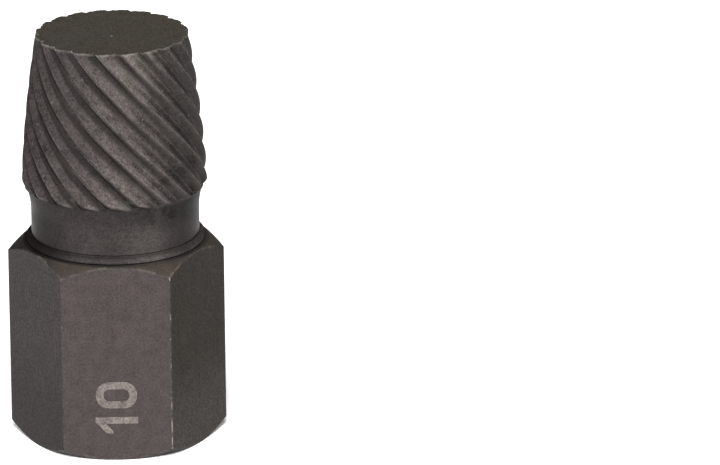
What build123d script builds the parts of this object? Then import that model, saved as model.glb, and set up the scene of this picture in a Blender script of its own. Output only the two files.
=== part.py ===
"""Screw extractor, turned and fluted from one piece of steel, in millimetres.

It stands on the end of its hexagon with +Z up, and the origin is the middle of that end face.
From the bottom up it has the hexagon for a spanner, with a square drive socket in its end face,
then a bevelled collar, a plain neck, and a barrel-shaped head with left-hand helical teeth.
"""
from build123d import *
import math
import os

# Hexagon and its turned chamfers
hex_across_flats = 12.0
hex_height = 13.0
hex_face_diameter = 11.9
hex_chamfer_angle = 37.5

# Square drive socket in the end face
drive_square = 6.4
drive_corner_radius = 0.3
drive_depth = 8.0
pilot_diameter = 6.6
pilot_depth = 8.8
pilot_point_angle = 118.0
drive_mouth_diameter = 8.4

# Collar and neck
collar_diameter = 11.5
collar_height = 0.45
collar_bevel = 0.3
neck_diameter = 10.7
neck_groove_depth = 0.1
neck_groove_width = 0.14

# Head: a turned barrel that widens from its tip to the shoulder
overall_height = 26.75
tip_diameter = 9.74
widest_diameter = 11.86
barrel_bulge = 0.13
barrel_length = 9.3
shoulder_height = 1.15
shoulder_rounding = 1.5
shoulder_margin = 0.043

# Teeth: left-hand helical flutes cut through the barrel, measured in degrees around it.
# Turning anticlockwise seen from the tip, a tooth rises up its leading side to a narrow land,
# and falls down its trailing side, which is what is left of its share of the circle.
tooth_count = 20
tooth_lead = 36.2
flute_depth = 0.42
flute_phase = 75.1
leading_side_angle = 5.7
land_angle = 0.7
flute_mouth = 1.5
flute_section_step = 2.0
flute_overrun = 0.6

hex_radius = hex_across_flats / 2
hex_corner_radius = hex_radius / math.cos(math.radians(30))
hex_chamfer_slope = math.tan(math.radians(hex_chamfer_angle))
collar_radius = collar_diameter / 2
collar_top = hex_height + collar_height
neck_radius = neck_diameter / 2
tip_radius = tip_diameter / 2
widest_radius = widest_diameter / 2
barrel_foot = overall_height - barrel_length
shoulder_slope = math.atan2(widest_radius - neck_radius, shoulder_height)
shoulder_reach = shoulder_rounding * math.tan(shoulder_slope / 2)
shoulder_top = barrel_foot - shoulder_reach - shoulder_margin
shoulder_foot = shoulder_top - shoulder_height
head_foot = shoulder_foot - shoulder_rounding


def turned(points):
    """A solid of revolution about Z, from the (radius, height) points of its outline."""
    with BuildPart() as solid:
        with BuildSketch(Plane.XZ):
            Polygon(*points, align=None)
        revolve(axis=Axis.Z)
    return solid.part


def hexagon():
    """Hexagonal prism with corners on X, its corners turned back at both ends."""
    reach = hex_corner_radius + 1.0
    face_radius = hex_face_diameter / 2
    rise = (reach - face_radius) * hex_chamfer_slope
    with BuildPart() as prism:
        with BuildSketch():
            RegularPolygon(hex_radius, 6, major_radius=False)
        extrude(amount=hex_height)
    bounds = turned(
        [
            (0, 0),
            (face_radius, 0),
            (reach, rise),
            (reach, hex_height - rise),
            (face_radius, hex_height),
            (0, hex_height),
        ]
    )
    return prism.part & bounds


def neck():
    """Bevelled collar on the hexagon, a fine groove above it, and the plain neck."""
    groove_radius = neck_radius - neck_groove_depth
    groove_top = collar_top + neck_groove_width
    with BuildPart() as solid:
        with BuildSketch(Plane.XZ) as outline:
            Polygon(
                (0, hex_height),
                (collar_radius, hex_height),
                (collar_radius, collar_top),
                (groove_radius, collar_top),
                (groove_radius, groove_top),
                (neck_radius, groove_top),
                (neck_radius, head_foot),
                (0, head_foot),
                align=None,
            )
            rim = outline.vertices().sort_by_distance((collar_radius, collar_top))[0]
            chamfer(rim, collar_bevel)
        revolve(axis=Axis.Z)
    return solid.part


def head_blank():
    """The turned head before fluting: a barrel that falls through a rounded shoulder to the neck."""
    with BuildPart() as solid:
        with BuildSketch(Plane.XZ) as outline:
            with BuildLine():
                middle = barrel_foot + barrel_length / 2
                middle_radius = (tip_radius + widest_radius) / 2 + barrel_bulge
                barrel = ThreePointArc(
                    (tip_radius, overall_height),
                    (middle_radius, middle),
                    (widest_radius, barrel_foot),
                )
                Polyline(
                    barrel @ 1,
                    (widest_radius, shoulder_top),
                    (neck_radius, shoulder_foot),
                    (neck_radius, head_foot),
                    (0, head_foot),
                    (0, overall_height),
                    barrel @ 0,
                )
            make_face()
            corners = outline.vertices()
            rim = corners.sort_by_distance((widest_radius, shoulder_top))[0]
            foot = corners.sort_by_distance((neck_radius, shoulder_foot))[0]
            fillet([rim, foot], shoulder_rounding)
        revolve(axis=Axis.Z)
    return solid.part


def flute_section(height):
    """Section of one flute at a height: a lopsided V whose mouth lies outside the barrel."""
    share = min((overall_height - height) / barrel_length, 1)
    straight = tip_radius + (widest_radius - tip_radius) * share
    crest = straight + 4 * barrel_bulge * share * (1 - share)
    trailing_side_angle = 360 / tooth_count - leading_side_angle - land_angle
    turn = flute_phase + 360 * (overall_height - height) / tooth_lead
    root = Vector(crest - flute_depth, 0).rotate(Axis.Z, turn)
    rising = Vector(crest, 0).rotate(Axis.Z, turn + leading_side_angle) - root
    falling = Vector(crest, 0).rotate(Axis.Z, turn - trailing_side_angle) - root
    corners = [root, root + rising * flute_mouth, root + falling * flute_mouth]
    return Pos(0, 0, height) * make_face(Polyline(*corners, close=True))


def flutes():
    """All the flutes, each lofted along its helix from the shoulder's foot to above the tip."""
    high = overall_height + flute_overrun
    count = math.ceil((high - shoulder_foot) / flute_section_step)
    sections = []
    for index in range(count + 1):
        sections.append(flute_section(shoulder_foot + (high - shoulder_foot) * index / count))
    flute = loft(sections)
    return [place * flute for place in PolarLocations(0, tooth_count)]


def drive_socket():
    """The space of the square drive: a drilled pilot, the broached square and a countersunk mouth."""
    pilot_radius = pilot_diameter / 2
    mouth_radius = drive_mouth_diameter / 2
    point = pilot_radius / math.tan(math.radians(pilot_point_angle / 2))
    pilot = turned([(0, 0), (pilot_radius, 0), (pilot_radius, pilot_depth), (0, pilot_depth + point)])
    mouth = turned([(0, 0), (mouth_radius, 0), (0, mouth_radius)])
    with BuildPart() as square:
        with BuildSketch():
            RectangleRounded(drive_square, drive_square, drive_corner_radius)
        extrude(amount=drive_depth)
    return square.part + pilot + mouth


head = head_blank() - flutes()
extractor_body = hexagon() + neck() + head - drive_socket()

os.makedirs("parts", exist_ok=True)
export_step(extractor_body, "parts/extractor_body.step")
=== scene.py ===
# %% [markdown]
# # Dressing a screw extractor
#
# A screw extractor is a short steel tool that takes a damaged screw out of its hole. Its tapered
# head has left-hand helical teeth that bite as it is turned, and a hexagon takes the spanner.
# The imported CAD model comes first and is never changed. It fixes the place and size of everything.

# %% Frame
import math

import bmesh
import bpy
from mathutils import Matrix, Vector


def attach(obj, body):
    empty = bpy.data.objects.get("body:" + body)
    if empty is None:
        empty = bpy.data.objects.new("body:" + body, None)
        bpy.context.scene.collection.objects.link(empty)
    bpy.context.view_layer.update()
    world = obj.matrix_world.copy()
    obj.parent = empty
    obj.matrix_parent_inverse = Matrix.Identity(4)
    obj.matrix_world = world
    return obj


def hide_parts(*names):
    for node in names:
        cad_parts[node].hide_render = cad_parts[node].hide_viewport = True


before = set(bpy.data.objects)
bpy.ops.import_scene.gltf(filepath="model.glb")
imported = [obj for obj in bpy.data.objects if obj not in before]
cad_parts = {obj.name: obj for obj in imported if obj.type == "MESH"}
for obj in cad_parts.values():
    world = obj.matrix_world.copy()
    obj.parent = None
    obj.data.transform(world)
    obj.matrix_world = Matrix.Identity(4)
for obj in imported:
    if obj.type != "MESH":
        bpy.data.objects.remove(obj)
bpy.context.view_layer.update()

# %% [markdown]
# ## Sizes
#
# Nearly all the sizes are those of the CAD source, in millimetres. Only the neck is a hair wider,
# and the teeth are turned by a tenth of a degree. Modelling at one Blender unit to the millimetre
# keeps the numbers easy to read and far from the small limits of some operators. The finished piece
# is scaled to metres once, at the end.

# %% Sizes in millimetres
hex_flat = 6.0
hex_corner = hex_flat / math.cos(math.radians(30))
hex_height = 13.0
hex_face = 5.95
hex_slope = math.tan(math.radians(37.5))

collar_top = 13.45
neck = 5.38

tip_height = 26.75
tip = 4.87
widest = 5.93
bulge = 0.13
barrel_foot = 17.45

tooth_count = 20
tooth_lead = 36.2
tooth_turn = 75.0
pitch = 360 / tooth_count

print("corner to corner", round(2 * hex_corner, 2), "mm, total height", tip_height, "mm")


def barrel(height):
    """Radius of the tooth tops at a height."""
    share = min((tip_height - height) / (tip_height - barrel_foot), 1)
    return tip + (widest - tip) * share + 4 * bulge * share * (1 - share)


# %% [markdown]
# ## Camera
#
# The photograph was taken with a long lens from a little above. The camera's place was worked out
# from the corners of the hexagon and the ellipse of the tip, so the picture is framed in the same
# way. It turns about the upright axis, tips down, and rolls by half a degree.

# %% Camera
camera_place = Vector((7.159, -525.036, 190.679)) / 1000
camera_azimuth = math.radians(-0.926)
camera_elevation = math.radians(18.687)
camera_roll = math.radians(-0.559)
camera_lens = 432.67
camera_near = 0.05

bpy.ops.object.select_all(action="DESELECT")
bpy.ops.object.camera_add(location=camera_place)
camera = bpy.context.object
camera.name = "photo_camera"
turn = Matrix.Rotation(camera_azimuth, 3, "Z")
turn = turn @ Matrix.Rotation(math.pi / 2 - camera_elevation, 3, "X")
turn = turn @ Matrix.Rotation(camera_roll, 3, "Z")
camera.rotation_euler = turn.to_euler()
camera.data.lens = camera_lens
camera.data.clip_start = camera_near
bpy.context.scene.camera = camera
print("camera is", round(camera_place.length, 3), "m from the origin")

# %% [markdown]
# ## Helpers for modelling
#
# Operators act on whatever is selected, so each step begins by selecting only its own piece.
# Inside edit mode, vertices, edges or faces are picked by a test of their place.

# %% Helpers for modelling


def only(piece):
    """Leaves one object selected and active."""
    bpy.ops.object.select_all(action="DESELECT")
    piece.select_set(True)
    bpy.context.view_layer.objects.active = piece


def settle(piece):
    """Puts an object's place, turn and scale into its mesh."""
    only(piece)
    bpy.ops.object.transform_apply(location=True, rotation=True, scale=True)


def fresh(name):
    """Names the primitive that was just added, and settles it."""
    piece = bpy.context.object
    piece.name = name
    settle(piece)
    return piece


def pick(piece, kind, test):
    """Selects the verts, edges or faces of a piece in edit mode that pass a test."""
    modes = {"verts": "VERT", "edges": "EDGE", "faces": "FACE"}
    bpy.ops.mesh.select_mode(type=modes[kind])
    bpy.ops.mesh.select_all(action="DESELECT")
    mesh = bmesh.from_edit_mesh(piece.data)
    for part in getattr(mesh, kind):
        if test(part):
            part.select_set(True)
    mesh.select_flush_mode()
    bmesh.update_edit_mesh(piece.data)


def pick_all(kind):
    """Selects the whole mesh in edit mode, as VERT, EDGE or FACE."""
    bpy.ops.mesh.select_mode(type=kind)
    bpy.ops.mesh.select_all(action="SELECT")


def upright(edge):
    """Whether an edge runs up the tool."""
    return abs(edge.verts[0].co.z - edge.verts[1].co.z) > 1


def combine(piece, other, how):
    """Crosses, joins or cuts a piece with another, by a Boolean modifier that is applied."""
    only(piece)
    change = piece.modifiers.new("combine", "BOOLEAN")
    change.operation = how
    change.solver = "EXACT"
    change.object = other
    bpy.ops.object.modifier_apply(modifier=change.name)
    bpy.data.objects.remove(other)
    print(piece.name, how.lower(), "now has", len(piece.data.polygons), "faces")


# %% [markdown]
# ## Turned shapes
#
# Most of the tool was turned in a lathe, and Spin does the same: a single vertex is extruded from
# point to point along half of the outline, and the line is spun about the upright axis. The first
# and the last point lie on the axis, where Spin leaves copies that are merged.

# %% A turned solid
merge_distance = 0.0005


def turned(name, outline, steps=192):
    """A closed solid spun about Z from (radius, height) points that start and end on the axis."""
    bpy.ops.object.select_all(action="DESELECT")
    bpy.ops.mesh.primitive_plane_add(size=0.1, location=(outline[0][0], 0, outline[0][1]))
    piece = fresh(name)
    bpy.ops.object.mode_set(mode="EDIT")
    pick_all("VERT")
    bpy.ops.mesh.merge(type="CENTER")
    for (radius, height), (next_radius, next_height) in zip(outline, outline[1:]):
        step = (next_radius - radius, 0, next_height - height)
        bpy.ops.mesh.extrude_region_move(TRANSFORM_OT_translate={"value": step})
    pick_all("VERT")
    bpy.ops.mesh.spin(steps=steps, angle=2 * math.pi, center=(0, 0, 0), axis=(0, 0, 1))
    pick_all("VERT")
    bpy.ops.mesh.remove_doubles(threshold=merge_distance)
    bpy.ops.mesh.normals_make_consistent(inside=False)
    bpy.ops.object.mode_set(mode="OBJECT")
    print(name, "spun from", len(outline), "points")
    return piece


def arc(middle, radius, start, end, count):
    """Points of an arc in the outline's plane, from one angle to another in degrees."""
    points = []
    for index in range(count + 1):
        angle = math.radians(start + (end - start) * index / count)
        points.append((middle[0] + radius * math.cos(angle), middle[1] + radius * math.sin(angle)))
    return points


# %% [markdown]
# ## Hexagon
#
# The hexagon is bar stock whose corners were turned back at both ends. A six-sided cylinder is
# crossed with a spun shape that is cut away at both ends, which leaves the curved edges that every
# nut has. Its upright edges are bevelled first, because no real edge is perfectly sharp.

# %% Hexagon
edge_round = 0.045
face_ease = 0.02

bpy.ops.object.select_all(action="DESELECT")
bpy.ops.mesh.primitive_cylinder_add(
    vertices=6,
    radius=hex_corner,
    depth=hex_height,
    location=(0, 0, hex_height / 2),
    rotation=(0, 0, math.radians(30)),
)
extractor = fresh("extractor")
bpy.ops.object.mode_set(mode="EDIT")
pick(extractor, "edges", upright)
bpy.ops.mesh.bevel(offset=edge_round, offset_type="OFFSET", segments=3, affect="EDGES")
bpy.ops.object.mode_set(mode="OBJECT")

reach = hex_corner + 1
rise = (reach - hex_face) * hex_slope
eased_out, eased_up = face_ease * 0.8, face_ease * 0.6
bounds_outline = [
    (0, 0),
    (hex_face - face_ease, 0),
    (hex_face + eased_out, eased_up),
    (reach, rise),
    (reach, hex_height - rise),
    (hex_face + eased_out, hex_height - eased_up),
    (hex_face - face_ease, hex_height),
    (0, hex_height),
]
combine(extractor, turned("hexagon_bounds", bounds_outline), "INTERSECT")

# %% [markdown]
# ## Drive socket
#
# The end that the tool stands on has a square hole for a ratchet's drive. It is made here as in the
# workshop: a drilled pilot, then the broached square with slightly rounded corners, and a
# countersunk mouth. Each starts a little below the end face, so that the cut is clean, and the three
# are joined and cut out in one go.

# %% Drive socket
pilot_radius = 3.3
pilot_depth = 8.8
pilot_point = 2.0
drive_square = 6.4
drive_depth = 8.0
drive_corner = 0.3
mouth_radius = 4.2
below = 1.0
socket_steps = 96

pilot_outline = [
    (0, -below),
    (pilot_radius, -below),
    (pilot_radius, pilot_depth),
    (0, pilot_depth + pilot_point),
]
mouth_outline = [(0, -below), (mouth_radius + below, -below), (0, mouth_radius)]
pilot = turned("pilot", pilot_outline, socket_steps)
mouth = turned("mouth", mouth_outline, socket_steps)
bpy.ops.object.select_all(action="DESELECT")
bpy.ops.mesh.primitive_cube_add(
    size=1,
    location=(0, 0, (drive_depth - below) / 2),
    scale=(drive_square, drive_square, drive_depth + below),
)
square = fresh("square")
bpy.ops.object.mode_set(mode="EDIT")
pick(square, "edges", upright)
bpy.ops.mesh.bevel(offset=drive_corner, segments=5, affect="EDGES")
bpy.ops.object.mode_set(mode="OBJECT")
combine(pilot, square, "UNION")
combine(pilot, mouth, "UNION")
combine(extractor, pilot, "DIFFERENCE")

# %% [markdown]
# ## Collar, neck and shoulder
#
# Above the hexagon there is a small rounded collar, with a fine groove on each side of it, then the
# plain neck, which widens through a soft shoulder to the head. They are one turned outline, whose
# points were read from the photograph as radius and height. Over the teeth it stands well clear of
# them, so that it only shapes the shoulder.

# %% Collar, neck and shoulder
groove = neck - 0.1
shoulder_round = 0.4
clear = widest + 0.6

collar_outline = [(0, 12.5), (5.5, 12.5), (5.5, 13.04), (5.6, 13.05), (5.67, 13.07), (5.715, 13.11)]
collar_outline += [(5.735, 13.17), (5.735, 13.27), (5.71, 13.35), (5.66, 13.41)]
collar_outline += [(5.58, 13.44), (5.46, collar_top)]

neck_outline = [(neck - 0.07, collar_top), (groove, collar_top + 0.03)]
neck_outline += [(groove, collar_top + 0.1), (neck, collar_top + 0.14)]
neck_outline += [(neck, 14.2), (neck, 14.9)]
flare = [(0.01, 15.4), (0.05, 15.8), (0.12, 16.15), (0.19, 16.42), (0.24, 16.56), (0.3, 16.66)]
neck_outline += [(neck + wider, height) for wider, height in flare]

shoulder_outline = arc((widest - shoulder_round, 17.05), shoulder_round, -62, -6, 9)
shoulder_outline += [(clear, 23.0), (clear, 27.5), (0, 27.5)]
turned_body = turned("turned_body", collar_outline + neck_outline + shoulder_outline)

# %% [markdown]
# ## Section of the teeth
#
# The head has twenty helical teeth. Seen from above, each one rises quickly up its leading side to
# a narrow crest, and falls slowly down a long hollow side, where a faint second ridge runs before
# the next groove. A ring of vertices is made first and gets this section: each of its fourteen rows
# is turned and scaled in place, by its angle past the groove in degrees and its lift from the
# barrel in millimetres.

# %% Section of the teeth
section = [
    (0.0, -0.41),
    (1.2, -0.335),
    (2.4, -0.21),
    (3.4, -0.115),
    (4.4, -0.05),
    (5.2, -0.015),
    (5.9, 0.0),
    (6.8, -0.03),
    (8.2, -0.1),
    (9.8, -0.19),
    (11.6, -0.265),
    (13.0, -0.265),
    (14.7, -0.235),
    (16.4, -0.33),
]
rows = len(section)
spacing = pitch / rows
rings_foot = 12.3
clear_reach = 6.9


def ring_turn(height):
    """Angle of the first groove at a height, in degrees."""
    return tooth_turn + 360 * (tip_height - height) / tooth_lead


def angle_of(vertex, height):
    """Angle of a vertex about the axis, in degrees past the first groove at a height."""
    return math.degrees(math.atan2(vertex.co.y, vertex.co.x)) - ring_turn(height)


bpy.ops.object.select_all(action="DESELECT")
bpy.ops.mesh.primitive_circle_add(
    vertices=tooth_count * rows,
    radius=clear_reach,
    fill_type="NOTHING",
    location=(0, 0, rings_foot),
)
teeth = fresh("teeth")
bpy.ops.object.mode_set(mode="EDIT")
ring = bmesh.from_edit_mesh(teeth.data)
ring.verts.ensure_lookup_table()
offset = math.radians(-angle_of(ring.verts[0], rings_foot) % spacing)
for vertex in ring.verts:
    vertex.co.rotate(Matrix.Rotation(offset, 3, "Z"))
bmesh.update_edit_mesh(teeth.data)

members = [[] for _ in section]
for vertex in ring.verts:
    row = math.floor(angle_of(vertex, rings_foot) / spacing + 0.5) % rows
    members[row].append(vertex.index)
for row, (angle, lift) in enumerate(section):
    chosen = set(members[row])
    pick(teeth, "verts", lambda vertex: vertex.index in chosen)
    shift = math.radians(angle - row * spacing)
    bpy.ops.transform.rotate(value=-shift, orient_axis="Z", center_override=(0, 0, 0))
    size = 1 + lift / tip
    bpy.ops.transform.resize(value=(size, size, 1), center_override=(0, 0, 0))
print(rows, "rows of", len(members[0]), "vertices shaped")

# %% [markdown]
# ## Teeth along the helix
#
# The ring is extruded upwards in small steps, and is turned and scaled a little at each, so the
# teeth wind left-handed and follow the barrel. The Screw modifier could wind them too, but it can't
# change their radius on the way. The first rings are wide and stay clear of the shoulder, where the
# grooves run out. Near the tip the falling side swells a little at each step, so the rim is rounder.

# %% Teeth along the helix
grooves_open, grooves_full = 16.3, 16.75
ring_step = 0.15
swell_from = tip_height - 1.6
swells = [(8.6, 22.2, 0.0028), (7.3, 8.6, 0.0018)]
first_phase = 4.3

heights = [rings_foot, grooves_open, grooves_full]
while heights[-1] < tip_height - 0.001:
    heights.append(min(heights[-1] + ring_step, tip_height))
ring_reach = [clear_reach, clear_reach] + [barrel(height) for height in heights[2:]]


def phase_of(vertex):
    """Angle past a groove, counted so that a tooth's falling side isn't split in two."""
    return (angle_of(vertex, vertex.co.z) - first_phase) % pitch + first_phase


def pick_ring(high, start=-math.inf, end=math.inf):
    """Selects the newest ring's vertices, or those of them between two angles past a groove."""
    pick(teeth, "verts", lambda vertex: vertex.co.z > high - 0.01 and start < phase_of(vertex) < end)


def grow(size):
    """Scales the selection about the tool's axis."""
    bpy.ops.transform.resize(value=(size, size, 1), center_override=(0, 0, 0))


pick_all("VERT")
for low, high, here, there in zip(heights, heights[1:], ring_reach, ring_reach[1:]):
    bpy.ops.mesh.extrude_region_move(TRANSFORM_OT_translate={"value": (0, 0, high - low)})
    shift = math.radians(ring_turn(high) - ring_turn(low))
    bpy.ops.transform.rotate(value=-shift, orient_axis="Z", center_override=(0, 0, 0))
    grow(there / here)
    if high > swell_from:
        for start, end, swell in swells:
            pick_ring(high, start, end)
            grow(1 + swell)
        pick_ring(high)
for end in (heights[0], heights[-1]):
    pick(teeth, "verts", lambda vertex: abs(vertex.co.z - end) < 0.001)
    bpy.ops.mesh.edge_face_add()
bpy.ops.mesh.select_all(action="SELECT")
bpy.ops.mesh.normals_make_consistent(inside=False)
bpy.ops.object.mode_set(mode="OBJECT")
print("teeth in", len(heights), "rings,", len(teeth.data.polygons), "faces")

# %% [markdown]
# ## One piece of steel
#
# The real tool is a single piece, so the turned body is crossed with the teeth and joined to the
# hexagon. Two Boolean steps keep every edge where the surfaces really meet.

# %% Teeth, turned body and hexagon into one
combine(turned_body, teeth, "INTERSECT")
combine(extractor, turned_body, "UNION")

# %% [markdown]
# ## Size number
#
# The front flat carries the tool's size in lightly etched figures that read upwards. Each figure is
# a flat shape given some thickness, and it is cut fifteen thousandths of a millimetre into the flat,
# so nothing stands proud of the steel. The floor of each cut gets the paler finish later.

# %% Size number: helpers
mark_floor = -5.985
mark_middle = -0.07
mark_stroke = 0.5
cutter_height = 0.2


def figure(name):
    """A flat square in the ground plane, from which a figure is made."""
    bpy.ops.object.select_all(action="DESELECT")
    bpy.ops.mesh.primitive_plane_add(size=1, location=(0, 0, 0))
    return fresh(name)


def etch(piece, height):
    """Thickens a flat figure, stands it across the front flat at a height and cuts it in."""
    pick_all("FACE")
    bpy.ops.mesh.extrude_region_move(TRANSFORM_OT_translate={"value": (0, 0, cutter_height)})
    bpy.ops.mesh.select_all(action="SELECT")
    bpy.ops.mesh.normals_make_consistent(inside=False)
    bpy.ops.object.mode_set(mode="OBJECT")
    piece.rotation_euler = (math.pi / 2, 0, 0)
    piece.location = (mark_middle, mark_floor, height)
    settle(piece)
    combine(extractor, piece, "DIFFERENCE")


# %% [markdown]
# ## The two figures
#
# Both lie on their sides, with their tops to the left. The nought is a square with rounded corners
# whose middle is taken out by an inset. The one is drawn from point to point and filled.

# %% Size number: the two figures
zero_long, zero_wide, zero_round = 2.64, 1.79, 0.86
zero_height, one_height = 4.4, 2.7

zero = figure("figure_0")
zero.scale = (zero_long, zero_wide, 1)
settle(zero)
bpy.ops.object.mode_set(mode="EDIT")
pick_all("VERT")
bpy.ops.mesh.bevel(offset=zero_round, segments=10, affect="VERTICES")
pick_all("FACE")
bpy.ops.mesh.inset(thickness=mark_stroke, depth=0)
bpy.ops.mesh.delete(type="FACE")
etch(zero, zero_height)

one = figure("figure_1")
bpy.ops.object.mode_set(mode="EDIT")
pick_all("VERT")
bpy.ops.mesh.merge(type="CENTER")
corners = [(-1.36, 0.23), (-1.36, -0.1), (-0.64, -0.89), (-0.22, -0.89)]
corners += [(-0.24, -0.72), (-0.67, -0.23), (1.36, -0.23), (1.36, 0.23)]
bpy.ops.transform.translate(value=(*corners[0], 0))
for here, there in zip(corners, corners[1:]):
    step = (there[0] - here[0], there[1] - here[1], 0)
    bpy.ops.mesh.extrude_region_move(TRANSFORM_OT_translate={"value": step})
bpy.ops.mesh.select_all(action="SELECT")
bpy.ops.mesh.edge_face_add()
etch(one, one_height)

# %% [markdown]
# ## From millimetres to metres
#
# The piece is finished, so it is scaled once and the scale is applied. Each face then gets the
# finish of its surface, chosen by its place and the way it faces. Smooth shading is limited by angle,
# so turned surfaces look round and real edges stay crisp.

# %% Scale, surfaces and smoothing
extractor.scale = (0.001, 0.001, 0.001)
settle(extractor)

tip_from = tip_height - 0.05
teeth_from = 15.6
neck_from = collar_top + 0.02
collar_from, collar_reach = 12.99, 5.9
socket_reach = 5.1
smooth_angle = 28

surfaces = [
    "flat_steel",
    "chamfer_steel",
    "neck_steel",
    "tooth_steel",
    "tip_steel",
    "socket_steel",
    "etched_steel",
    "collar_steel",
]
extractor.data.materials.clear()
for name in surfaces:
    steel = bpy.data.materials.new(name)
    steel.use_nodes = True
    extractor.data.materials.append(steel)


def surface_of(face):
    """Name of the surface that a face belongs to."""
    x, y, z = face.center * 1000
    radius = math.hypot(x, y)
    upward = face.normal.z
    if z > tip_from and upward > 0.9:
        return "tip_steel"
    if z > teeth_from:
        return "tooth_steel"
    if z > collar_from and radius < collar_reach:
        return "neck_steel" if z > neck_from else "collar_steel"
    if radius < socket_reach or upward < -0.99:
        return "socket_steel"
    if abs(upward) > 0.5:
        return "chamfer_steel"
    if face.normal.y < -0.9 and mark_floor - 0.01 < y < mark_floor + 0.005:
        return "etched_steel"
    return "flat_steel"


for face in extractor.data.polygons:
    face.material_index = surfaces.index(surface_of(face))
only(extractor)
bpy.ops.object.shade_smooth_by_angle(angle=math.radians(smooth_angle))
chosen_surfaces = [surfaces[face.material_index] for face in extractor.data.polygons]
print("faces of each surface:", {name: chosen_surfaces.count(name) for name in surfaces})

# %% [markdown]
# ## Helpers for materials
#
# A material is a tree of nodes. These short helpers add a node with its values, join sockets, and
# start a node group, which holds an effect that several materials share.

# %% Helpers for nodes


def fill(tree, socket, value):
    """Gives an input a value, or links another socket to it."""
    if isinstance(value, bpy.types.NodeSocket):
        tree.links.new(value, socket)
    else:
        socket.default_value = value


def node(tree, kind, inputs=None, **settings):
    """Adds a node. Inputs are given by name or number, as a value or as a socket to link."""
    made = tree.nodes.new("ShaderNode" + kind)
    for name, value in settings.items():
        setattr(made, name, value)
    for name, value in (inputs or {}).items():
        fill(tree, made.inputs[name], value)
    return made


def group(name, inputs, outputs):
    """A new node group with named inputs and outputs, and its two end nodes."""
    tree = bpy.data.node_groups.new(name, "ShaderNodeTree")
    for label, kind, value in inputs:
        socket = tree.interface.new_socket(label, in_out="INPUT", socket_type="NodeSocket" + kind)
        socket.default_value = value
    for label, kind in outputs:
        tree.interface.new_socket(label, in_out="OUTPUT", socket_type="NodeSocket" + kind)
    print("group", name, "gives", [label for label, kind in outputs])
    return tree, tree.nodes.new("NodeGroupInput").outputs, tree.nodes.new("NodeGroupOutput").inputs


def use(tree, name, **inputs):
    """Places a node group in a tree and returns its outputs."""
    placed = node(tree, "Group")
    placed.node_tree = bpy.data.node_groups[name]
    for label, value in inputs.items():
        fill(tree, placed.inputs[label], value)
    return placed.outputs


# %% [markdown]
# ## Helpers for values and colours
#
# Patterns are sums and products of values that change over the steel. The most useful one is fade,
# which goes smoothly from one value to another between two places, where a hard step would show.

# %% Helpers for values and colours


def calc(tree, operation, *values):
    """Result of a Math node."""
    return node(tree, "Math", dict(enumerate(values)), operation=operation).outputs[0]


def chain(tree, operation, result, *others):
    """Result of Math nodes in a row, each of which takes in one more value."""
    for other in others:
        result = calc(tree, operation, result, other)
    return result


def times(tree, *factors):
    """Product of values."""
    return chain(tree, "MULTIPLY", *factors)


def plus(tree, *terms):
    """Sum of values."""
    return chain(tree, "ADD", *terms)


def less(tree, value, amount):
    """A value less an amount."""
    return calc(tree, "SUBTRACT", value, amount)


def gap(tree, value, target):
    """How far a value is from a target, on either side."""
    return calc(tree, "ABSOLUTE", less(tree, value, target))


def fade(tree, value, start, end, low=0.0, high=1.0):
    """A smooth change from low to high as a value goes from start to end."""
    inputs = {"Value": value, "From Min": start, "From Max": end, "To Min": low, "To Max": high}
    return node(tree, "MapRange", inputs, interpolation_type="SMOOTHSTEP").outputs["Result"]


def noise(tree, place, scale, detail, roughness=0.5):
    """A cloudy pattern between 0 and 1."""
    inputs = {"Vector": place, "Scale": scale, "Detail": detail, "Roughness": roughness}
    return node(tree, "TexNoise", inputs).outputs[0]


def blend(tree, amount, first, second, kind="MIX"):
    """A colour mixed from two others."""
    mixed = node(tree, "Mix", data_type="RGBA", blend_type=kind)
    fill(tree, mixed.inputs[0], amount)
    fill(tree, mixed.inputs[6], first)
    fill(tree, mixed.inputs[7], second)
    return mixed.outputs[2]


def shade(tree, colour, level):
    """A colour made darker or lighter by a factor."""
    level_colour = node(tree, "CombineColor", {0: level, 1: level, 2: level}).outputs[0]
    return blend(tree, 1.0, colour, level_colour, "MULTIPLY")


# %% [markdown]
# ## Place on the steel
#
# Every pattern follows the object's own coordinates, so it stays on the steel in every view. The
# first group turns them into millimetres, with the height, the distance from the tool's axis, and
# the distance to the right of it.

# %% Group: place in millimetres
place_outputs = [("Place", "Vector"), ("Radius", "Float"), ("Height", "Float"), ("Aside", "Float")]
tree, given, result = group("place", [], place_outputs)
coordinates = node(tree, "TexCoord").outputs["Object"]
scaled = node(tree, "VectorMath", {0: coordinates, "Scale": 1000.0}, operation="SCALE").outputs[0]
x, y, z = node(tree, "SeparateXYZ", {0: scaled}).outputs
radius = calc(tree, "SQRT", plus(tree, times(tree, x, x), times(tree, y, y)))
tree.links.new(scaled, result["Place"])
tree.links.new(radius, result["Radius"])
tree.links.new(z, result["Height"])
tree.links.new(x, result["Aside"])

# %% [markdown]
# ## Phosphate skin
#
# The steel has a dark, matt phosphate coat. Close up it is made of fine crystals, so its tone changes
# from grain to grain, with softer clouds and slow shifts from one tone to another. Three noises of
# different sizes do that, and the finest one also gives the bump.

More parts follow.
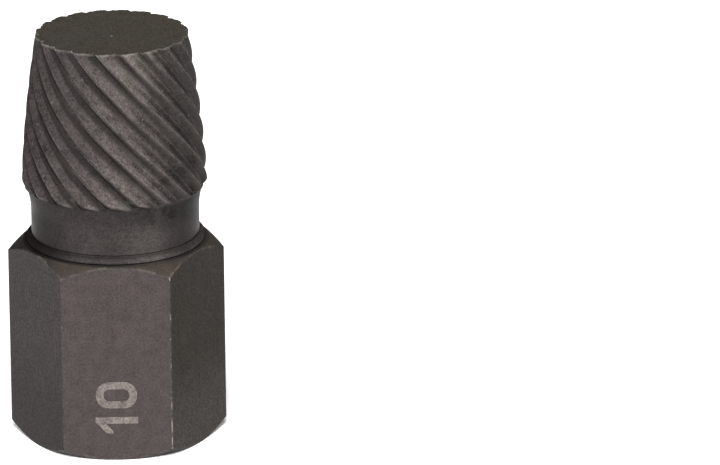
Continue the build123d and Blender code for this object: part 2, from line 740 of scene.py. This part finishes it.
# %% Group: phosphate skin
skin_inputs = [("Tone", "Color", (0.1, 0.09, 0.09, 1)), ("Tint", "Color", (0.1, 0.09, 0.08, 1))]
skin_inputs += [("Grain", "Float", 0.2), ("Cloud", "Float", 0.1)]
skin_inputs += [("Fineness", "Float", 7.0), ("Roughness", "Float", 0.5)]
skin_outputs = [("Color", "Color"), ("Roughness", "Float"), ("Height", "Float")]
tree, given, result = group("phosphate skin", skin_inputs, skin_outputs)
place = use(tree, "place")["Place"]
crystals = noise(tree, place, given["Fineness"], 5.0, 0.7)
clouds = noise(tree, place, 1.3, 4.0, 0.55)
drifts = noise(tree, place, 0.3, 2.0)
grain = times(tree, less(tree, crystals, 0.5), given["Grain"])
cloud = times(tree, less(tree, clouds, 0.5), given["Cloud"])
hue = blend(tree, fade(tree, drifts, 0.35, 0.65), given["Tone"], given["Tint"])
rough = plus(tree, given["Roughness"], times(tree, less(tree, clouds, 0.5), 0.25))
tree.links.new(shade(tree, hue, plus(tree, grain, cloud, 1.0)), result["Color"])
tree.links.new(rough, result["Roughness"])
tree.links.new(crystals, result["Height"])

# %% [markdown]
# ## Specks
#
# Here and there a crystal or a tiny chip catches the light. A Voronoi pattern gives scattered dots,
# and the random colour of each cell keeps only a few of them.

# %% Group: specks
speck_inputs = [("Spacing", "Float", 0.5), ("Size", "Float", 0.05), ("Share", "Float", 0.1)]
tree, given, result = group("specks", speck_inputs, [("Mask", "Float")])
cell_scale = calc(tree, "DIVIDE", 1.0, given["Spacing"])
cells = node(tree, "TexVoronoi", {"Vector": use(tree, "place")["Place"], "Scale": cell_scale}).outputs
dot_reach = calc(tree, "DIVIDE", given["Size"], given["Spacing"])
from_middle = calc(tree, "DIVIDE", cells["Distance"], dot_reach)
chance = node(tree, "SeparateColor", {0: cells["Color"]}).outputs[0]
kept = calc(tree, "LESS_THAN", chance, given["Share"])
tree.links.new(times(tree, fade(tree, from_middle, 0.5, 1.0, 1.0, 0.0), kept), result["Mask"])

# %% [markdown]
# ## Worn lines
#
# Edges rub against spanners and other tools, and the coat wears through in a thin broken line. The
# line is drawn where the distance from an edge is small, and a noise breaks it up.

# %% Group: worn line
line_inputs = [("Distance", "Float", 1.0), ("Width", "Float", 0.1)]
line_inputs += [("Patches", "Float", 1.0), ("Wear", "Float", 0.5)]
tree, given, result = group("worn line", line_inputs, [("Mask", "Float")])
from_edge = calc(tree, "DIVIDE", given["Distance"], given["Width"])
patches = noise(tree, use(tree, "place")["Place"], given["Patches"], 3.0, 0.7)
limit = less(tree, 1.0, given["Wear"])
kept = fade(tree, patches, less(tree, limit, 0.12), plus(tree, limit, 0.12))
tree.links.new(times(tree, fade(tree, from_edge, 0.3, 1.0, 1.0, 0.0), kept), result["Mask"])

# %% [markdown]
# ## Distance from the hexagon's edges
#
# The distance of a point on a flat from its upright edges follows from how far the point reaches
# towards the three pairs of flats. The curved edges lie where the turned cone meets the flat.

# %% Group: hexagon edges
tree, given, result = group("hexagon edges", [], [("Upright", "Float"), ("Curved", "Float")])
spot = use(tree, "place")
reaches = []
for angle in (30, 90, 150):
    facing = (math.cos(math.radians(angle)), math.sin(math.radians(angle)), 0)
    dot = node(tree, "VectorMath", {0: spot["Place"], 1: facing}, operation="DOT_PRODUCT")
    reaches.append(calc(tree, "ABSOLUTE", dot.outputs["Value"]))
most = chain(tree, "MAXIMUM", *reaches)
least = chain(tree, "MINIMUM", *reaches)
second = less(tree, less(tree, plus(tree, *reaches), most), least)
edge_gap = calc(tree, "DIVIDE", less(tree, most, second), math.sin(math.radians(60)))
cone_fall = times(tree, less(tree, spot["Radius"], hex_face), hex_slope)
from_middle = gap(tree, spot["Height"], hex_height / 2)
from_cone = less(tree, less(tree, hex_height / 2, cone_fall), from_middle)
from_flat = less(tree, hex_flat, most)
curved = plus(tree, calc(tree, "ABSOLUTE", from_cone), calc(tree, "ABSOLUTE", from_flat))
tree.links.new(edge_gap, result["Upright"])
tree.links.new(curved, result["Curved"])

# %% [markdown]
# ## Painted light and shade across the neck
#
# The neck's tone gets painted light and shade: a painted highlight a little right of the middle, and
# painted shade towards its two sides. Towards the shoulder it is painted darker and more even, and
# darker still at the sides. The group gives the factor by which a tone is lightened or darkened.

# %% Group: painted light and shade on the neck
tree, given, result = group("neck light and shade", [], [("Level", "Float")])
spot = use(tree, "place")
aside = spot["Aside"]
# Painted shade towards both sides and a painted highlight right of the middle.
dark_left = fade(tree, aside, -5.3, -1.5, 0.4, 0.97)
middle_highlight = fade(tree, aside, 0.2, 1.8, 0.0, 0.48)
dark_right = fade(tree, aside, 2.2, 4.3, 0.0, -0.74)
right_edge = fade(tree, aside, 4.4, 5.2, 0.0, 0.1)
lower_tone = plus(tree, dark_left, middle_highlight, dark_right, right_edge)
# Towards the shoulder: painted darker, and darker still at the sides.
upper_left = fade(tree, aside, -5.2, -3.0, 0.48, 0.74)
upper_tone = plus(tree, upper_left, fade(tree, aside, 2.6, 5.0, 0.0, -0.5))
upper = fade(tree, spot["Height"], 14.6, 15.9)
lower = less(tree, 1.0, upper)
level = plus(tree, times(tree, lower_tone, lower), times(tree, upper_tone, upper))
tree.links.new(level, result["Level"])

# %% [markdown]
# ## Turning marks
#
# A lathe leaves fine rings. Noise that changes only with the height and the radius draws them.

# %% Group: turning marks
tree, given, result = group("turning marks", [("Fineness", "Float", 6.0)], [("Rings", "Float")])
spot = use(tree, "place")
ring_place = node(tree, "CombineXYZ", {0: spot["Radius"], 2: spot["Height"]}).outputs[0]
tree.links.new(noise(tree, ring_place, given["Fineness"], 2.0), result["Rings"])

# %% [markdown]
# ## Place on a tooth
#
# The angle about the axis, less the turn of the helix at this height, tells where a point lies
# between one groove and the next. It is worked out as the teeth were modelled, so the two agree.

# %% Group: tooth place
tree, given, result = group("tooth place", [], [("Phase", "Float")])
spot = use(tree, "place")
x, y, z = node(tree, "SeparateXYZ", {0: spot["Place"]}).outputs
angle = times(tree, calc(tree, "ARCTAN2", y, x), 180 / math.pi)
down = less(tree, tip_height, z)
groove_angle = plus(tree, times(tree, down, 360 / tooth_lead), tooth_turn)
phase = calc(tree, "FLOORED_MODULO", less(tree, angle, groove_angle), pitch)
tree.links.new(phase, result["Phase"])

# %% [markdown]
# ## Finishing a material
#
# Each material keeps its own Principled shader. Colour, roughness and a small bump come from the
# groups, and the values that are the same all over are set on the shader's own sockets.

# %% Shader
bare = (0.30, 0.265, 0.24, 1)
# A near-black colour that is mixed in as painted shade.
painted_shade_colour = (0.006, 0.005, 0.005, 1)
plain_glint = (1, 1, 1, 1)
warm_glint = (1.0, 0.87, 0.86, 1)


def finish_steel(name, colour, roughness, height, bump, sheen=0.12, glint=plain_glint):
    """Joins colour, roughness and bump to a Principled shader, whose shine has a sheen and a tint."""
    tree = bpy.data.materials[name].node_tree
    shader = tree.nodes["Principled BSDF"]
    tree.links.new(colour, shader.inputs["Base Color"])
    tree.links.new(roughness, shader.inputs["Roughness"])
    shader.inputs["Specular IOR Level"].default_value = sheen
    shader.inputs["Specular Tint"].default_value = glint
    relief = node(tree, "Bump", {"Height": height, "Strength": 1.0, "Distance": bump / 1000})
    tree.links.new(relief.outputs[0], shader.inputs["Normal"])
    print(name, "has", len(tree.nodes), "nodes")


# %% [markdown]
# ## Flats of the hexagon
#
# The flats are drawn smooth, so the coat is even there, with faint streaks along the bar. The front
# flat is a brownish grey. The two side flats carry painted shade: the left one is painted darker, and
# darker still towards its foot, and the right one is painted a dark olive grey, with painted light
# from the floor making its foot lighter. The grain is stronger on the two sides.

# %% Material: flats
front_tone = (0.0389, 0.0321, 0.0305, 1)
# The side flats' tones are painted shade, and the lighter foot of the right one is painted light from
# the floor.
left_shade_foot, left_shade_top = (0.0194, 0.0163, 0.0156, 1), (0.0257, 0.0215, 0.0206, 1)
right_shade_foot, right_shade_top = (0.0322, 0.0277, 0.0245, 1), (0.0193, 0.0157, 0.0127, 1)
streak_tone = (0.07, 0.06, 0.056, 1)
corner_start, corner_end = 3.4, 3.6

tree = bpy.data.materials["flat_steel"].node_tree
spot = use(tree, "place")
aside, height = spot["Aside"], spot["Height"]
left_shade_tone = blend(tree, fade(tree, height, 2.0, 8.0), left_shade_foot, left_shade_top)
right_shade_tone = blend(tree, fade(tree, height, 1.5, 7.0), right_shade_foot, right_shade_top)
tone = blend(tree, fade(tree, aside, -corner_end, -corner_start), left_shade_tone, front_tone)
tone = blend(tree, fade(tree, aside, corner_start, corner_end), tone, right_shade_tone)
grain = fade(tree, calc(tree, "ABSOLUTE", aside), corner_start, corner_end, 1.9, 3.7)
skin = use(tree, "phosphate skin", Tone=tone, Tint=tone, Grain=grain, Cloud=0.7, Roughness=0.5)
drawn = node(tree, "Mapping", {"Vector": spot["Place"], "Scale": (6.0, 6.0, 0.35)}).outputs[0]
streaks = fade(tree, noise(tree, drawn, 1.0, 2.0), 0.5, 0.8, 0.0, 0.14)
streaked = blend(tree, streaks, skin["Color"], streak_tone)
print("flats have", len(tree.nodes), "nodes before their wear")

# %% [markdown]
# ## Wear on the hexagon's edges
#
# The upright edges carry the brightest wear, and at their upper ends and at the right near the foot a
# painted highlight is added to it. The curved edges are only faintly worn.

# %% Material: flats, worn edges
edges = use(tree, "hexagon edges")
at_right = fade(tree, aside, 3.0, 3.3)
# At the right near the foot and at the upper ends, the line is strengthened as a painted highlight.
foot_wear_and_highlight = times(tree, at_right, fade(tree, height, 2.0, 6.0, 0.16, 0.0))
top_wear_and_highlight = fade(tree, height, 12.0, 12.2, 0.0, 0.2)
wear = plus(tree, fade(tree, aside, 3.0, 3.3, 0.31, 0.36), foot_wear_and_highlight, top_wear_and_highlight)
upright_line = use(
    tree, "worn line", Distance=edges["Upright"], Width=0.075, Patches=1.5, Wear=wear
)["Mask"]
curved_line = use(
    tree, "worn line", Distance=edges["Curved"], Width=0.12, Patches=1.1, Wear=0.42
)["Mask"]
specks = use(tree, "specks", Spacing=0.55, Size=0.045, Share=0.12)["Mask"]
worn = blend(tree, times(tree, curved_line, 0.12), streaked, bare)
worn = blend(tree, times(tree, upright_line, 0.5), worn, bare)
worn = blend(tree, times(tree, specks, 0.15), worn, bare)
finish_steel("flat_steel", worn, skin["Roughness"], skin["Height"], 0.006, 0.04)

# %% [markdown]
# ## Turned corners of the hexagon
#
# The cones at both ends are turned, darker and browner than the flats. At the left, at the foot, a
# little at the front left and close to the collar, painted shade is mixed in as a near-black colour.

# %% Material: turned corners
cone_tone, cone_tint = (0.038, 0.031, 0.025, 1), (0.033, 0.0275, 0.023, 1)
cone_ring = (0.055, 0.045, 0.035, 1)

tree = bpy.data.materials["chamfer_steel"].node_tree
spot = use(tree, "place")
aside, height = spot["Aside"], spot["Height"]
skin = use(
    tree, "phosphate skin", Tone=cone_tone, Tint=cone_tint, Grain=1.4, Cloud=0.6, Roughness=0.5
)
rings = use(tree, "turning marks", Fineness=5.0)["Rings"]
ringed = blend(tree, fade(tree, rings, 0.45, 0.7, 0.0, 0.25), skin["Color"], cone_ring)
# Painted shade: darker at the left, at the foot, a little at the front left, and next to the collar.
left_shade = fade(tree, aside, -5.8, -2.2, 0.76, 0.0)
foot_shade = fade(tree, height, 1.0, 2.0, 0.8, 0.0)
middle_shade = fade(tree, aside, -1.5, 2.0, 0.14, 0.0)
collar_shade = fade(tree, spot["Radius"], 5.8, 6.15, 0.5, 0.0)
shade_amount = chain(tree, "MAXIMUM", left_shade, foot_shade, middle_shade, collar_shade)
curved_line = use(
    tree, "worn line", Distance=use(tree, "hexagon edges")["Curved"], Width=0.12, Patches=1.1, Wear=0.45
)["Mask"]
worn = blend(tree, times(tree, curved_line, 0.12), blend(tree, shade_amount, ringed, painted_shade_colour), bare)
finish_steel("chamfer_steel", worn, skin["Roughness"], rings, 0.004, 0.06)

# %% [markdown]
# ## Neck and collar
#
# The neck is smooth from the lathe, with faint rings, and shines a little. The collar is the same
# steel but dull. Both carry painted light and shade: the collar's rounded top is painted darker than
# its side, its right is painted lighter, its left end is painted dark, and a line of painted shade
# lies under it. One function fills both materials, because only their sheen differs.

# %% Materials: neck and collar
neck_skin_tone, neck_skin_tint = (0.0290, 0.0252, 0.0245, 1), (0.0275, 0.0237, 0.0222, 1)
neck_ring = (0.05, 0.044, 0.042, 1)


def turned_steel(name, sheen):
    """Fills the material of the neck or of the collar."""
    tree = bpy.data.materials[name].node_tree
    spot = use(tree, "place")
    aside, height = spot["Aside"], spot["Height"]
    skin = use(
        tree,
        "phosphate skin",
        Tone=neck_skin_tone,
        Tint=neck_skin_tint,
        Grain=2.4,
        Cloud=0.7,
        Roughness=0.38,
    )
    rings = use(tree, "turning marks", Fineness=7.0)["Rings"]
    ringed = blend(tree, fade(tree, rings, 0.45, 0.75, 0.0, 0.2), skin["Color"], neck_ring)
    on_collar = fade(tree, height, 13.45, 13.8, 1.0, 0.0)
    # Painted light and shade on the collar: its top darker than its side, its right lighter.
    collar_light = fade(tree, height, 13.24, 13.36, 1.12, 0.88)
    neck_light = fade(tree, height, 13.44, 13.50, 0.0, 0.96)
    right_light = plus(tree, times(tree, fade(tree, aside, 1.0, 3.4, 0.0, 0.45), on_collar), 1.0)
    bead = times(tree, calc(tree, "MAXIMUM", collar_light, neck_light), right_light)
    lit = shade(tree, ringed, times(tree, use(tree, "neck light and shade")["Level"], bead))
    # Painted shade at the collar's left and in a line under it.
    left_shade = times(tree, fade(tree, aside, -5.2, -2.4, 0.7, 0.0), on_collar)
    line_shade = fade(tree, height, 13.005, 13.03, 0.45, 0.0)
    with_shade = blend(tree, calc(tree, "MAXIMUM", left_shade, line_shade), lit, painted_shade_colour)
    specks = use(tree, "specks", Spacing=0.8, Size=0.05, Share=0.12)["Mask"]
    worn = blend(tree, times(tree, specks, 0.3), with_shade, bare)
    finish_steel(name, worn, skin["Roughness"], rings, 0.004, sheen, warm_glint)


turned_steel("neck_steel", 0.03)
turned_steel("collar_steel", 0.0)

# %% [markdown]
# ## Where the teeth are rubbed
#
# The tops of the teeth are rubbed lighter and the grooves keep the dark coat. The rubbed band runs
# from the leading side over the crest to the falling side. Its place is also painted light and shade,
# so it shifts with the side: at the left it starts in the groove itself, and at the right it starts
# higher and reaches further down. At the shoulder, where the surface turns down, the band gives way
# to the darker tone as painted shade, in a slanting lobe, but at the right in an even line.

# %% Material: teeth, rubbed bands
tree = bpy.data.materials["tooth_steel"].node_tree
phase = use(tree, "tooth place")["Phase"]
spot = use(tree, "place")
aside, height = spot["Aside"], spot["Height"]
at_left = fade(tree, aside, -3.0, 0.5, 1.0, 0.0)
not_right = fade(tree, aside, 1.4, 3.2, 1.0, 0.0)
# Painted light and shade: the band's place shifts with the side.
shifted = calc(tree, "FLOORED_MODULO", calc(tree, "MULTIPLY_ADD", at_left, 2.2, phase), pitch)
# Painted shade: the darker shoulder tone climbs higher at each lobe's left.
lobe_slant = times(tree, fade(tree, shifted, 3.0, 14.0, 0.42, 0.0), not_right)
lobe = less(tree, height, lobe_slant)
on_head = fade(tree, lobe, 16.45, 16.85)
rising_start = calc(tree, "MULTIPLY_ADD", at_left, -1.6, 1.6)
rising_end = calc(tree, "MULTIPLY_ADD", at_left, -6.3, 7.9)
rising = fade(tree, shifted, rising_start, rising_end)
falling_at = fade(tree, aside, -0.5, 3.0, 9.9, 13.0)
falling_start = calc(tree, "MULTIPLY_ADD", at_left, 1.5, falling_at)
falling = fade(tree, shifted, falling_start, plus(tree, falling_start, 7.2), 1.0, 0.0)
rubbed_and_lit = times(tree, rising, falling, on_head)
print("rubbed bands take", len(tree.nodes), "nodes")

# %% [markdown]
# ## Painted light and shade on the teeth
#
# The bands are painted lighter a little right of the middle and painted darker towards both sides,
# most at the far left. They are lighter near the rim and near the shoulder. At the left the leading
# sides get painted light, and from the middle to the right the hollow of the falling side gets painted
# shade. Most of all low on the right, the coat has dark blotches.

# %% Material: teeth, painted light and shade
# Painted light and shade across the head: lighter right of the middle, darker towards both sides.
front = plus(tree, fade(tree, aside, -3.0, 1.0, 0.43, 1.0), fade(tree, aside, 1.6, 4.6, 0.0, -0.5))
# Painted shade in the hollow of the falling side.
hollow = fade(tree, gap(tree, phase, 12.0), 1.0, 3.6, 0.5, 0.0)
hollow = times(tree, hollow, fade(tree, aside, -0.5, 2.5))
# Painted light on the leading sides at the left.
leading = times(tree, fade(tree, gap(tree, shifted, 3.2), 0.9, 2.0, 4.0, 0.0), at_left)
near_shoulder = fade(tree, height, 16.9, 20.5, 1.22, 1.0)
# Painted shade at the far left.
far_left = fade(tree, aside, -5.4, -3.8, 0.8, 1.0)
near_rim = times(
    tree,
    fade(tree, height, 22.5, 25.5, 0.0, 0.28),
    fade(tree, aside, -0.2, 1.2),
    fade(tree, aside, 1.7, 3.4, 1.0, 0.0),
)
strength = times(
    tree,
    front,
    less(tree, 1.0, hollow),
    plus(tree, leading, 1.0),
    near_shoulder,
    far_left,
    plus(tree, near_rim, 1.0),
)
blotches = fade(tree, noise(tree, spot["Place"], 0.9, 4.0, 0.65), 0.48, 0.62, 0.0, 0.45)
low_right = times(tree, fade(tree, aside, 1.0, 3.2), fade(tree, height, 17.0, 21.0, 1.0, 0.3))
unblotched = less(tree, 1.0, times(tree, blotches, low_right))
print("with their strength", len(tree.nodes), "nodes")

# %% [markdown]
# ## Tones of the teeth
#
# The rubbed bands are a lighter, warmer grey with a rough grain, and almost tan near the rim. The
# grooves keep the dark coat and are painted with shade, from nearly black at the left to dark grey at
# the right, and darker again at the far right. Below the head the tone is that of the neck, with the
# same painted light and shade, so the shoulder and the neck meet without a line.

# %% Material: teeth, tones
rubbed_tone, rubbed_tint = (0.066, 0.0562, 0.0518, 1), (0.062, 0.0522, 0.0505, 1)
rim_tone = (0.138, 0.130, 0.094, 1)
groove_left, groove_right = (0.0120, 0.0102, 0.0096, 1), (0.040, 0.035, 0.032, 1)
shoulder_tone = (0.0285, 0.0246, 0.0236, 1)

rubbed_skin = use(
    tree,
    "phosphate skin",
    Tone=rubbed_tone,
    Tint=rubbed_tint,
    Grain=3.7,
    Cloud=1.6,
    Fineness=7.5,
    Roughness=0.5,
)
# Painted shade in the grooves, darkest at the left and at the far right.
groove_tone = blend(tree, fade(tree, aside, -2.5, 4.0), groove_left, groove_right)
groove_tone = shade(tree, groove_tone, fade(tree, aside, 3.8, 5.0, 1.0, 0.78))
low_tone = shade(tree, shoulder_tone, use(tree, "neck light and shade")["Level"])
low_tone = blend(tree, on_head, low_tone, groove_tone)
low_skin = use(
    tree, "phosphate skin", Tone=low_tone, Tint=low_tone, Grain=2.4, Cloud=0.7, Roughness=0.55
)
high_tone = shade(tree, rubbed_skin["Color"], strength)
high_tone = blend(tree, times(tree, near_rim, 0.4), high_tone, rim_tone)
coated = shade(tree, blend(tree, rubbed_and_lit, low_skin["Color"], high_tone), unblotched)
print("with their tones", len(tree.nodes), "nodes")

# %% [markdown]
# ## Bright edges of the teeth
#
# The coat is worn through along the crests, the lobes' ends and the rim, and a painted highlight runs
# along the faint second ridges. Each is drawn as a worn line at its own place, and is weaker where the
# photograph shows less of it.

# %% Material: teeth, bright edges
crest_phase, ridge_phase, lobe_end = 6.0, 14.8, 16.72


def wear_through(colour, distance, strength, width, patches, wear):
    """A colour of the teeth with bare steel along a line."""
    line = use(tree, "worn line", Distance=distance, Width=width, Patches=patches, Wear=wear)
    return blend(tree, times(tree, line["Mask"], strength), colour, bare)


crest_strength = times(tree, fade(tree, aside, -1.0, 1.5, 0.04, 0.12), on_head)
ridge_highlight_strength = times(tree, fade(tree, aside, -0.5, 2.5, 0.0, 0.06), on_head)
lobe_strength = times(tree, not_right, falling, 0.1)
worn = wear_through(coated, gap(tree, phase, crest_phase), crest_strength, 1.0, 1.2, 0.5)
# A painted highlight along the second ridges.
worn = wear_through(worn, gap(tree, phase, ridge_phase), ridge_highlight_strength, 0.9, 1.8, 0.5)
worn = wear_through(worn, gap(tree, lobe, lobe_end), lobe_strength, 0.16, 1.3, 0.55)
worn = wear_through(worn, less(tree, tip_height, height), 0.17, 0.2, 1.6, 0.6)
specks = use(tree, "specks", Spacing=0.32, Size=0.06, Share=0.16)["Mask"]
speck_strength = times(tree, rubbed_and_lit, fade(tree, aside, -2.5, 0.0, 0.15, 0.4))
worn = blend(tree, times(tree, specks, speck_strength), worn, bare)
roughness = plus(tree, rubbed_skin["Roughness"], fade(tree, height, 15.6, 16.8, -0.12, 0.0))
finish_steel("tooth_steel", worn, roughness, rubbed_skin["Height"], 0.02, 0.035, warm_glint)

# %% [markdown]
# ## Tip
#
# The tip's end face is dark and even, with a few specks and one bright nick near its middle.

# %% Material: tip
tip_tone, tip_tint = (0.0396, 0.0341, 0.0280, 1), (0.0381, 0.0333, 0.0280, 1)
nick_place = (0.0, -0.8, tip_height)

tree = bpy.data.materials["tip_steel"].node_tree
skin = use(
    tree, "phosphate skin", Tone=tip_tone, Tint=tip_tint, Grain=2.6, Cloud=0.3, Roughness=0.6
)
specks = use(tree, "specks", Spacing=1.6, Size=0.12, Share=0.08)["Mask"]
nick = node(
    tree, "VectorMath", {0: use(tree, "place")["Place"], 1: nick_place}, operation="DISTANCE"
).outputs["Value"]
speckled = blend(tree, times(tree, specks, 0.35), skin["Color"], bare)
nicked = blend(tree, fade(tree, nick, 0.03, 0.1, 0.8, 0.0), speckled, bare)
finish_steel("tip_steel", nicked, skin["Roughness"], skin["Height"], 0.004)

# %% [markdown]
# ## Socket
#
# Inside the socket, and on the end face round it, the coat is darker still and has no wear, only
# the fine rings of the drill.

# %% Material: socket
socket_tone, socket_tint = (0.0193, 0.0157, 0.0127, 1), (0.022, 0.020, 0.019, 1)

tree = bpy.data.materials["socket_steel"].node_tree
skin = use(
    tree, "phosphate skin", Tone=socket_tone, Tint=socket_tint, Grain=0.3, Cloud=0.4, Roughness=0.5
)
rings = use(tree, "turning marks", Fineness=4.0)["Rings"]
finish_steel("socket_steel", skin["Color"], skin["Roughness"], rings, 0.006)

# %% [markdown]
# ## Number
#
# The number is where the coat was etched off, so it is pale, dry and slightly speckled.

# %% Material: number
etched_tone, etched_tint = (0.103, 0.0870, 0.0775, 1), (0.096, 0.0825, 0.0745, 1)

tree = bpy.data.materials["etched_steel"].node_tree
skin = use(
    tree, "phosphate skin", Tone=etched_tone, Tint=etched_tint, Grain=3.2, Cloud=1.6, Roughness=0.7
)
finish_steel("etched_steel", skin["Color"], skin["Roughness"], skin["Height"], 0.004, 0.3)

# %% [markdown]
# ## Floor
#
# The floor is a plain pale sheet of paper. A weak glow of its own keeps it nearly white where the
# tool's shadow falls, as on a studio table.

# %% Floor
floor_size = 6
paper_colour = (0.93, 0.93, 0.93, 1)
paper_glow = 0.22

bpy.ops.object.select_all(action="DESELECT")
bpy.ops.mesh.primitive_plane_add(size=floor_size, location=(0, 0, 0))
floor = bpy.context.object
floor.name = "floor"
paper = bpy.data.materials.new("pale_paper")
paper.use_nodes = True
paper_inputs = paper.node_tree.nodes["Principled BSDF"].inputs
paper_inputs["Base Color"].default_value = paper_colour
paper_inputs["Roughness"].default_value = 0.9
paper_inputs["Specular IOR Level"].default_value = 0.1
paper_inputs["Emission Color"].default_value = (1, 1, 1, 1)
paper_inputs["Emission Strength"].default_value = paper_glow
floor.data.materials.append(paper)
print("floor is", floor_size, "m wide")

# %% [markdown]
# ## Lights
#
# A soft light stands straight in front, well above the tool. A weak one at the left fills the
# shadows, and a narrow one at the right gives the neck its faint highlight. The world adds hardly
# any light, so the sides stay dark.

# %% Lights
aim = Vector((0, 0, 0.013))
world_strength = 0.01


def soft_light(name, azimuth, elevation, distance, width, tall, power):
    """A soft box that looks at the middle of the tool. Azimuth 0 is in front, and right is positive."""
    side, up = math.radians(azimuth), math.radians(elevation)
    away = Vector((math.sin(side) * math.cos(up), -math.cos(side) * math.cos(up), math.sin(up)))
    bpy.ops.object.light_add(type="AREA", location=aim + away * distance)
    lamp = bpy.context.object
    lamp.name = name
    lamp.rotation_euler = away.to_track_quat("Z", "Y").to_euler()
    lamp.data.shape = "RECTANGLE"
    lamp.data.size = width
    lamp.data.size_y = tall
    lamp.data.energy = power
    print(name, "at", [round(value, 3) for value in lamp.location])


soft_light("front_light", 0, 40, 1.6, 0.35, 0.35, 53)
soft_light("left_fill", -75, 25, 1.2, 0.5, 0.5, 8)
soft_light("right_light", 42, 14, 0.5, 0.05, 0.12, 0.3)
world = bpy.context.scene.world or bpy.data.worlds.new("studio")
bpy.context.scene.world = world
world.use_nodes = True
world.node_tree.nodes["Background"].inputs[0].default_value = (1, 1, 1, 1)
world.node_tree.nodes["Background"].inputs[1].default_value = world_strength
bpy.context.scene.view_settings.view_transform = "Standard"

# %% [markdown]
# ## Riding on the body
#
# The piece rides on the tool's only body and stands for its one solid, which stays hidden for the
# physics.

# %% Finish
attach(extractor, "root")
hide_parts("extractor_body")
